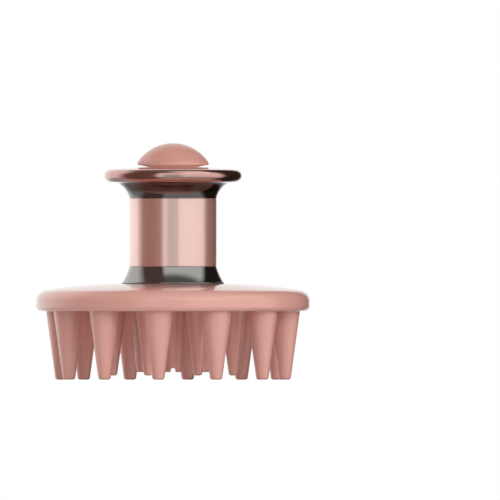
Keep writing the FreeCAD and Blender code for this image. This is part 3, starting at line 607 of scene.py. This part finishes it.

# Cap with its finger flange: the broad round rim that two fingers hold while the thumb presses.
# Turned brass with a polished red-brown plating; its top falls gently to the rim,
# and a well in the middle takes the button. The lower half of the rim is painted dark as shade under the
# flange.
FLANGE_R, FLANGE_LOW, FLANGE_THICKNESS, FLANGE_TOP = 20.15, 57.7, 3.8, 62.05
WELL_R, WELL_ROUND = 11.0, 0.35
# Painted shade: below this height the rim's lower half fades towards the near-black edge colour.
UNDERSIDE_SHADE_HIGH, UNDERSIDE_SHADE_FADE, UNDERSIDE_PAINTED_SHADE = 58.3, 0.5, 1.7
FLANGE_STEPS, WELL_STEPS, UNDERSIDE_STEPS, CROWN_STEPS = 40, 6, 4, 8
flange_round = FLANGE_THICKNESS / 2
flange_center = (FLANGE_R - flange_round, FLANGE_LOW + flange_round)
well_center = (WELL_R + WELL_ROUND, FLANGE_TOP - WELL_ROUND)
flange_rim = arc(flange_center, flange_round, -90, 90, FLANGE_STEPS)
cap_well = [point[:2] for point in arc(well_center, WELL_ROUND, 90, 180, WELL_STEPS)]
cap_section = [(CAP_BORE_R, CAP_FLARE_END[1]), CAP_FLARE_END]
cap_section += run(CAP_FLARE_END, flange_rim[0], UNDERSIDE_STEPS)
# Painted shade on the lower half of the rim.
for point in flange_rim:
    painted_shade_share = min(1.0, max(0.0, (UNDERSIDE_SHADE_HIGH - point[1]) / UNDERSIDE_SHADE_FADE))
    cap_section.append((*point[:2], UNDERSIDE_PAINTED_SHADE * painted_shade_share))
cap_section += run(flange_rim[-1], cap_well[0], CROWN_STEPS) + cap_well
cap_section += [(WELL_R, PLUG_FLANGE_TOP), (CAP_BORE_R, PLUG_FLANGE_TOP)]
cap_body = turned_piece("cap_body", cap_section, HANDLE_AROUND)
# The edge colour here is the rim's painted shade.
cap_plating = surface(
    "cap_brown_plating", buffed_metal,
    {"Colour": (0.60, 0.27, 0.215, 1), "Tarnish": (0.55, 0.235, 0.185, 1),
     "Edge colour": (0.13, 0.055, 0.045, 1), "Smudge scale": 70.0,
     "Low roughness": 0.16, "High roughness": 0.22},
    bump=0.0004, Metallic=1.0, Coat_Weight=1.0, Coat_Roughness=0.03, Coat_IOR=2.4)
dressed(cap_body, cap_plating, "cap", "dark_chrome", "top_cap")

# Button: a soft domed cap on a stiff plunger, pushed up by a coil in the guide sleeve.
# The dome is pink silicone over a white acetal core, and a spring clip on the stem's end
# stops it against the hub.
BUTTON_R, BUTTON_EDGE_LOW, BUTTON_EDGE_HIGH, BUTTON_TOP = 10.45, 62.75, 63.4, 69.1
BUTTON_FOOT_R, BUTTON_UNDER, BUTTON_BELLY_ROUND, BUTTON_EDGE_ROUND = 6.0, 61.65, 14.0, 0.2
BUTTON_BROW, BROW_SPAN, BROW_STEPS, BROW_WEAR = 0.45, 2, 6, 0.8
BUTTON_DOME_STEPS, BELLY_STEPS, BUTTON_EDGE_STEPS = 40, 12, 6
BUTTON_AROUND, BUTTON_SHARP = 128, 50.0
SOCKET_R, SOCKET_TOP = 4.6, 65.25
BUTTON_COIL_R, BUTTON_COIL_WIRE, BUTTON_COIL_TURNS = 4.8, 0.6, 4
BUTTON_COIL_LOW, BUTTON_COIL_HIGH = 54.4, 60.1
button_coil = coil_piece("button_coil", BUTTON_COIL_R, BUTTON_COIL_WIRE, BUTTON_COIL_TURNS,
                         BUTTON_COIL_LOW, BUTTON_COIL_HIGH)
dressed(button_coil, spring_steel, "cap", "spring_steel", "button_spring")
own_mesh(button_coil)
finished_node("button_plunger", white_moulding)
finished_node("stem_clip", spring_steel)
dome_rise = BUTTON_TOP - BUTTON_EDGE_HIGH
dome_r = (BUTTON_R ** 2 + dome_rise ** 2) / (2 * dome_rise)
dome_center = (0.0, BUTTON_TOP - dome_r)
dome_start = math.degrees(math.atan2(BUTTON_EDGE_HIGH - dome_center[1], BUTTON_R))
dome_points = [point[:2] for point in arc(dome_center, dome_r, dome_start, 90, BUTTON_DOME_STEPS)]
button_edge_center = (BUTTON_R - BUTTON_EDGE_ROUND, BUTTON_EDGE_LOW + BUTTON_EDGE_ROUND)
button_flank_end = (button_edge_center[0], BUTTON_EDGE_LOW)
button_section = [(0.0, SOCKET_TOP), (SOCKET_R, SOCKET_TOP), (SOCKET_R, BUTTON_UNDER)]
button_foot = (BUTTON_FOOT_R, BUTTON_UNDER)
button_section += hollow(button_foot, button_flank_end, BUTTON_BELLY_ROUND, BELLY_STEPS)[:-1]
button_section += arc(button_edge_center, BUTTON_EDGE_ROUND, -90, 0, BUTTON_EDGE_STEPS)
brow_low = (BUTTON_R, BUTTON_EDGE_HIGH - BUTTON_BROW)
brow_corner = dome_points[0]
brow_high = dome_points[BROW_SPAN]
for step in range(BROW_STEPS + 1):
    share = step / BROW_STEPS
    weights = ((1 - share) ** 2, 2 * share * (1 - share), share ** 2)
    brow_pulls = list(zip(weights, (brow_low, brow_corner, brow_high)))
    brow_x = sum(weight * point[0] for weight, point in brow_pulls)
    brow_z = sum(weight * point[1] for weight, point in brow_pulls)
    button_section.append((brow_x, brow_z, BROW_WEAR))
button_section += dome_points[BROW_SPAN + 1:-1] + [(0.0, BUTTON_TOP)]
button_cap = turned_piece("button_cap", button_section, BUTTON_AROUND, sharp=BUTTON_SHARP)
button_pink = surface(
    "button_pink", moulded_skin,
    {"Colour": (0.690, 0.345, 0.285, 1), "Deep colour": (0.655, 0.316, 0.256, 1),
     "Worn colour": (0.74, 0.42, 0.36, 1), "Mottle scale": 45.0, "Grain scale": 3000.0,
     "Low roughness": 0.26, "High roughness": 0.33, "Edge wear": 0.4},
    bump=0.002, Subsurface_Weight=0.4, Subsurface_Radius=(1.0, 0.45, 0.35), Subsurface_Scale=0.0025)
dressed(button_cap, button_pink, "button", "pink_silicone", "button_dome")

# Studio: a pale matt floor, white to the camera and clear from below, in a white surround.
# A broad soft key from the right, a rim light from behind on the left and an even fill light the brush;
# brown and grey panels stand round it for the metal to mirror, and small lamps lift single pieces.
FLOOR_R, FLOOR_SIDES = 2500.0, 96
FLOOR_DROP = 0.05
FLOOR_GLOW = 0.35
CAMERA_AZIMUTH = math.radians(-22.5)
toward_camera = Vector((math.sin(CAMERA_AZIMUTH), -math.cos(CAMERA_AZIMUTH), 0))
to_the_right = Vector((math.cos(CAMERA_AZIMUTH), math.sin(CAMERA_AZIMUTH), 0))


def studio_way(turn, lift=0.0):
    """Direction from the brush, turned to the camera's right and lifted, in degrees."""
    flat = toward_camera * math.cos(math.radians(turn)) + to_the_right * math.sin(math.radians(turn))
    return flat * math.cos(math.radians(lift)) + Vector((0, 0, math.sin(math.radians(lift))))


floor_form = bmesh.new()
bmesh.ops.create_circle(floor_form, cap_ends=True, segments=FLOOR_SIDES, radius=FLOOR_R * MM)
floor_mesh = bpy.data.meshes.new("studio_floor")
floor_form.to_mesh(floor_mesh)
floor_form.free()
studio_floor = bpy.data.objects.new("studio_floor", floor_mesh)
studio_floor.location = (0, 0, -FLOOR_DROP * MM)
bpy.context.scene.collection.objects.link(studio_floor)
floor_paint = bpy.data.materials.new("floor_paint")
floor_paint.use_nodes = True
floor_tree = floor_paint.node_tree
floor_shader = floor_tree.nodes["Principled BSDF"]
floor_shader.inputs["Base Color"].default_value = (0.86, 0.86, 0.86, 1)
floor_shader.inputs["Roughness"].default_value = 0.75
floor_shader.inputs["Emission Color"].default_value = (1, 1, 1, 1)
floor_path = node(floor_tree, "LightPath")
floor_glow = node(floor_tree, "Math", operation="MULTIPLY")
floor_glow.inputs[1].default_value = FLOOR_GLOW
floor_side = node(floor_tree, "NewGeometry")
floor_clear = node(floor_tree, "BsdfTransparent")
floor_mix = node(floor_tree, "MixShader")
floor_output = floor_tree.nodes["Material Output"]
floor_link = floor_tree.links.new
floor_link(floor_path.outputs["Is Camera Ray"], floor_glow.inputs[0])
floor_link(floor_glow.outputs["Value"], floor_shader.inputs["Emission Strength"])
floor_link(floor_side.outputs["Backfacing"], floor_mix.inputs[0])
floor_link(floor_shader.outputs["BSDF"], floor_mix.inputs[1])
floor_link(floor_clear.outputs["BSDF"], floor_mix.inputs[2])
floor_link(floor_mix.outputs["Shader"], floor_output.inputs["Surface"])
studio_floor.data.materials.append(floor_paint)
studio_floor.visible_glossy = False

PANEL_DISTANCE, PANEL_STEP = 0.6, 2.0


def panel(name, start, end, fades, heights, shade):
    """Curved panel for the metal to mirror, between two angles and two heights; its side edges fade out."""
    form = bmesh.new()
    fade_layer = form.verts.layers.float.new("fade")
    columns = []
    steps = round((end - start) / PANEL_STEP)
    for step in range(steps + 1):
        turn = start + (end - start) * step / steps
        share = min(1.0, (turn - start) / fades[0], (end - turn) / fades[1])
        foot = studio_way(turn) * PANEL_DISTANCE
        column = []
        for height in heights:
            vert = form.verts.new((foot.x, foot.y, height))
            vert[fade_layer] = share
            column.append(vert)
        columns.append(column)
    for column, following in zip(columns, columns[1:]):
        form.faces.new((column[0], following[0], following[1], column[1]))
    mesh = bpy.data.meshes.new(name)
    form.to_mesh(mesh)
    form.free()
    material = bpy.data.materials.new(name)
    material.use_nodes = True
    tree = material.node_tree
    tree.nodes.remove(tree.nodes["Principled BSDF"])
    fade = node(tree, "Attribute", attribute_name="fade")
    clear = node(tree, "BsdfTransparent")
    cloth = node(tree, "Emission", Color=(*shade, 1), Strength=1.0)
    mix = node(tree, "MixShader")
    tree.links.new(fade.outputs["Fac"], mix.inputs[0])
    tree.links.new(clear.outputs["BSDF"], mix.inputs[1])
    tree.links.new(cloth.outputs["Emission"], mix.inputs[2])
    tree.links.new(mix.outputs["Shader"], tree.nodes["Material Output"].inputs["Surface"])
    mesh.materials.append(material)
    board = bpy.data.objects.new(name, mesh)
    board.visible_camera = False
    board.visible_diffuse = False
    board.visible_shadow = False
    board.visible_transmission = False
    bpy.context.scene.collection.objects.link(board)


panel("panel_left_brown", start=-108, end=-23, fades=(22, 10), heights=(-0.8, 1.4),
      shade=(0.155, 0.097, 0.084))
panel("panel_front_grey", start=-18, end=17, fades=(7, 6), heights=(-0.3, 0.25),
      shade=(0.425, 0.555, 0.565))
panel("panel_right_brown", start=84, end=168, fades=(16, 14), heights=(-0.8, 1.4),
      shade=(0.030, 0.021, 0.018))
BRUSH_MIDDLE = 35.0


def soft_lamp(name, turn, lift, distance, size, watts):
    """Square soft light, sized in metres and aimed at the brush, that the metal doesn't mirror."""
    lamp = bpy.data.lights.new(name, "AREA")
    lamp.shape = "SQUARE"
    lamp.size = size
    lamp.energy = watts
    holder = bpy.data.objects.new(name, lamp)
    holder.location = studio_way(turn, lift) * distance + Vector((0, 0, BRUSH_MIDDLE * MM))
    holder.rotation_mode = "QUATERNION"
    holder.rotation_quaternion = (-studio_way(turn, lift)).to_track_quat("-Z", "Y")
    holder.visible_glossy = False
    holder.visible_camera = False
    bpy.context.scene.collection.objects.link(holder)
    return holder


def lights_only(lamp, *pieces):
    """Lets a lamp light these pieces and no others."""
    lit_pieces = bpy.data.collections.new(lamp.name + "_target")
    for piece in pieces:
        lit_pieces.objects.link(piece)
    lamp.light_linking.receiver_collection = lit_pieces


soft_lamp("key_light", turn=30, lift=18, distance=0.9, size=0.5, watts=3.45)
soft_lamp("rim_light", turn=-128, lift=22, distance=0.9, size=0.5, watts=2.5)
soft_lamp("top_light", turn=20, lift=75, distance=0.9, size=0.6, watts=0.4)
flange_card = soft_lamp("flange_card", turn=50, lift=62, distance=0.6, size=0.46, watts=0.5)
flange_card.visible_glossy = True
lights_only(flange_card, cap_body)
barrel_card = soft_lamp("barrel_card", turn=-146, lift=0, distance=0.6, size=1.0, watts=0.30)
barrel_card.data.shape = "RECTANGLE"
barrel_card.data.size_y = 0.4
barrel_card.visible_glossy = True
lights_only(barrel_card, barrel_tube)
button_bounce = soft_lamp("button_bounce", turn=15, lift=-62, distance=0.9, size=0.5, watts=4.6)
button_bounce.data.use_shadow = False
lights_only(button_bounce, button_cap)
bristle_bounce = soft_lamp("bristle_bounce", turn=10, lift=-12, distance=0.9, size=0.5, watts=1.2)
bristle_bounce.data.use_shadow = False
lights_only(bristle_bounce, middle_fingers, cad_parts["nozzle_cluster"])
INNER_FILL_HEIGHT, INNER_FILL_SIZE, INNER_FILL_WATTS = 9.0, 6.0, 0.006
inner_fill_lamp = bpy.data.lights.new("inner_fill", "POINT")
inner_fill_lamp.energy = INNER_FILL_WATTS
inner_fill_lamp.shadow_soft_size = INNER_FILL_SIZE * MM
inner_fill_lamp.use_shadow = False
inner_fill = bpy.data.objects.new("inner_fill", inner_fill_lamp)
inner_fill.location = (0, 0, INNER_FILL_HEIGHT * MM)
inner_fill.visible_glossy = False
inner_fill.visible_camera = False
bpy.context.scene.collection.objects.link(inner_fill)
lights_only(inner_fill, outer_fingers)

surround = bpy.data.worlds.new("white_surround")
surround.use_nodes = True
bpy.context.scene.world = surround
sky = surround.node_tree
AMBIENT = 0.55
CEILING_SHADE, CEILING_FROM, CEILING_TO = 0.18, 0.66, 0.84
GROUND_SHADE, GROUND_FROM, GROUND_TO = 0.42, -0.45, -0.15
sky_path = node(sky, "LightPath")
sky_way = node(sky, "TexCoord")
sky_parts = node(sky, "SeparateXYZ")
sky_ceiling = node(sky, "MapRange", interpolation_type="SMOOTHSTEP",
                   From_Min=CEILING_FROM, From_Max=CEILING_TO, To_Min=1.0, To_Max=CEILING_SHADE)
sky_ground = node(sky, "MapRange", interpolation_type="SMOOTHSTEP",
                  From_Min=GROUND_FROM, From_Max=GROUND_TO, To_Min=GROUND_SHADE, To_Max=1.0)
sky_mirrored = node(sky, "Math", operation="MULTIPLY")
sky_plain = node(sky, "MapRange", To_Min=AMBIENT, To_Max=1.0)
sky_shown = node(sky, "Math", operation="ADD", use_clamp=True)
sky_level = node(sky, "Mix", data_type="FLOAT")
sky_link = sky.links.new
sky_link(sky_way.outputs["Generated"], sky_parts.inputs["Vector"])
sky_link(sky_parts.outputs["Z"], sky_ceiling.inputs["Value"])
sky_link(sky_parts.outputs["Z"], sky_ground.inputs["Value"])
sky_link(sky_ceiling.outputs["Result"], sky_mirrored.inputs[0])
sky_link(sky_ground.outputs["Result"], sky_mirrored.inputs[1])
sky_link(sky_path.outputs["Is Camera Ray"], sky_shown.inputs[0])
sky_link(sky_path.outputs["Is Transmission Ray"], sky_shown.inputs[1])
sky_link(sky_shown.outputs["Value"], sky_plain.inputs["Value"])
sky_link(sky_path.outputs["Is Glossy Ray"], sky_level.inputs["Factor"])
sky_link(sky_plain.outputs["Result"], sky_level.inputs["A"])
sky_link(sky_mirrored.outputs["Value"], sky_level.inputs["B"])
sky_shine = sky.nodes["Background"]
sky_shine.inputs["Color"].default_value = (1, 1, 1, 1)
sky_link(sky_level.outputs["Result"], sky_shine.inputs["Strength"])

FRAME_WIDTH = 146.15
VIEW_RIGHT, VIEW_HEIGHT = 22.5, 37.9
camera_data = bpy.data.cameras.new("camera")
camera_data.type = "ORTHO"
camera_data.ortho_scale = FRAME_WIDTH * MM
camera = bpy.data.objects.new("camera", camera_data)
camera.location = to_the_right * VIEW_RIGHT * MM + Vector((0, 0, VIEW_HEIGHT * MM)) + toward_camera
camera.rotation_mode = "QUATERNION"
camera.rotation_quaternion = (-toward_camera).to_track_quat("-Z", "Y")
bpy.context.scene.collection.objects.link(camera)
bpy.context.scene.camera = camera
bpy.context.scene.view_settings.view_transform = "Standard"

bpy.context.view_layer.update()
